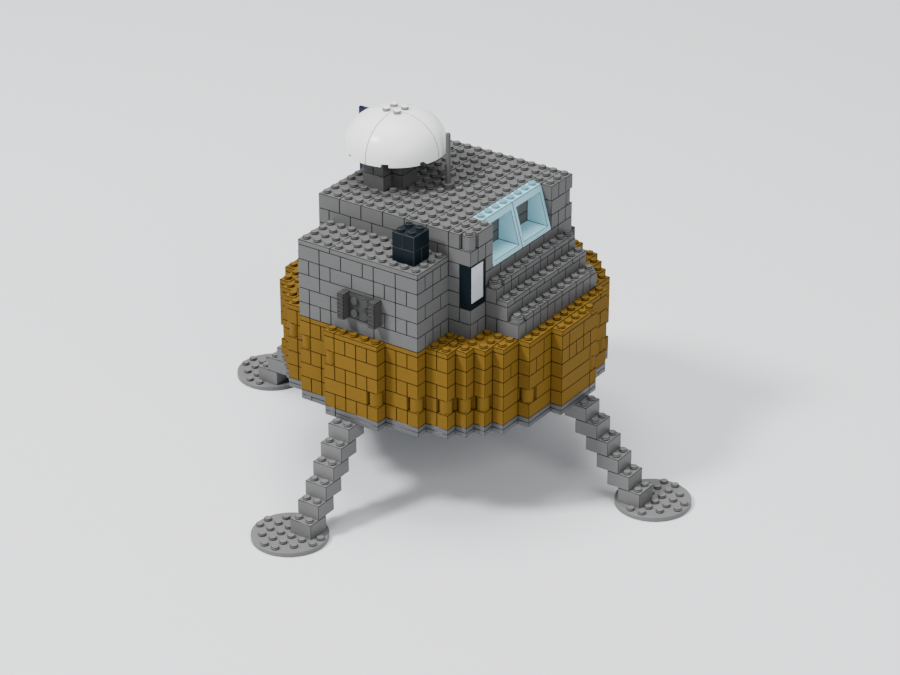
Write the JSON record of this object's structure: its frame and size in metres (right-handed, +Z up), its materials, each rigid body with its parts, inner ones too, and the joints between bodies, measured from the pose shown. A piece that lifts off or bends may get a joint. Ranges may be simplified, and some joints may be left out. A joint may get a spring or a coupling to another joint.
{
  "type": "toy lunar lander",
  "caption": "Brick-built lunar lander model: a round stepped stage on stilt legs with disc feet, a square cabin with sloped windows, a side box and a dome.",
  "frame": {"origin": "on the ground under the centre of the round stage", "axes": "+Z up; -Y towards the side with the windows and steps, -X towards the side box"},
  "size_m": [0.3438, 0.3438, 0.2313],
  "materials": {
    "gold_plastic": "metallic gold moulded plastic",
    "grey_plastic": "glossy mid grey",
    "light_grey_plastic": "glossy light grey",
    "blue_grey_plastic": "glossy bluish grey",
    "dark_grey_plastic": "glossy dark grey",
    "navy_plastic": "glossy navy blue",
    "white_plastic": "glossy white",
    "clear_blue_plastic": "pale blue see-through plastic",
    "clear_pane": "clear pane"
  },
  "bodies": {
    "root": {"base_plates_lower": "blue_grey_plastic", "base_plates_upper": "blue_grey_plastic", "box_course_1": "grey_plastic", "box_course_2": "grey_plastic", "box_course_3": "grey_plastic", "box_course_4": "grey_plastic", "box_course_5": "grey_plastic", "box_roof": "grey_plastic", "cabin_course_1": "grey_plastic", "cabin_course_2": "grey_plastic", "cabin_course_3": "grey_plastic", "cabin_course_4": "grey_plastic", "cabin_course_5": "grey_plastic", "cabin_course_6": "grey_plastic", "cabin_roof": "grey_plastic", "dark_block_course_1": "navy_plastic", "dark_block_course_2": "navy_plastic", "deck_plates": "gold_plastic", "dome_quarters": "white_plastic", "fin": "navy_plastic", "foot_plates": "light_grey_plastic", "leg_course_1": "light_grey_plastic", "leg_course_2": "light_grey_plastic", "leg_course_3": "light_grey_plastic", "leg_course_4": "light_grey_plastic", "leg_course_5": "light_grey_plastic", "leg_course_6": "light_grey_plastic", "mast": "grey_plastic", "pedestal_course_1": "dark_grey_plastic", "pedestal_course_2": "dark_grey_plastic", "skirt_course_1": "gold_plastic", "skirt_course_2": "gold_plastic", "skirt_course_3": "gold_plastic", "skirt_course_4": "gold_plastic", "skirt_course_5": "gold_plastic", "small_frame": "navy_plastic", "small_pane": "clear_pane", "step_course_1": "grey_plastic", "step_course_2": "grey_plastic", "step_course_3": "grey_plastic", "step_plates": "grey_plastic", "thruster_back": "dark_grey_plastic", "thruster_left": "dark_grey_plastic", "window_frame_left": "clear_blue_plastic", "window_frame_right": "clear_blue_plastic"}
  },
  "joints": []
}
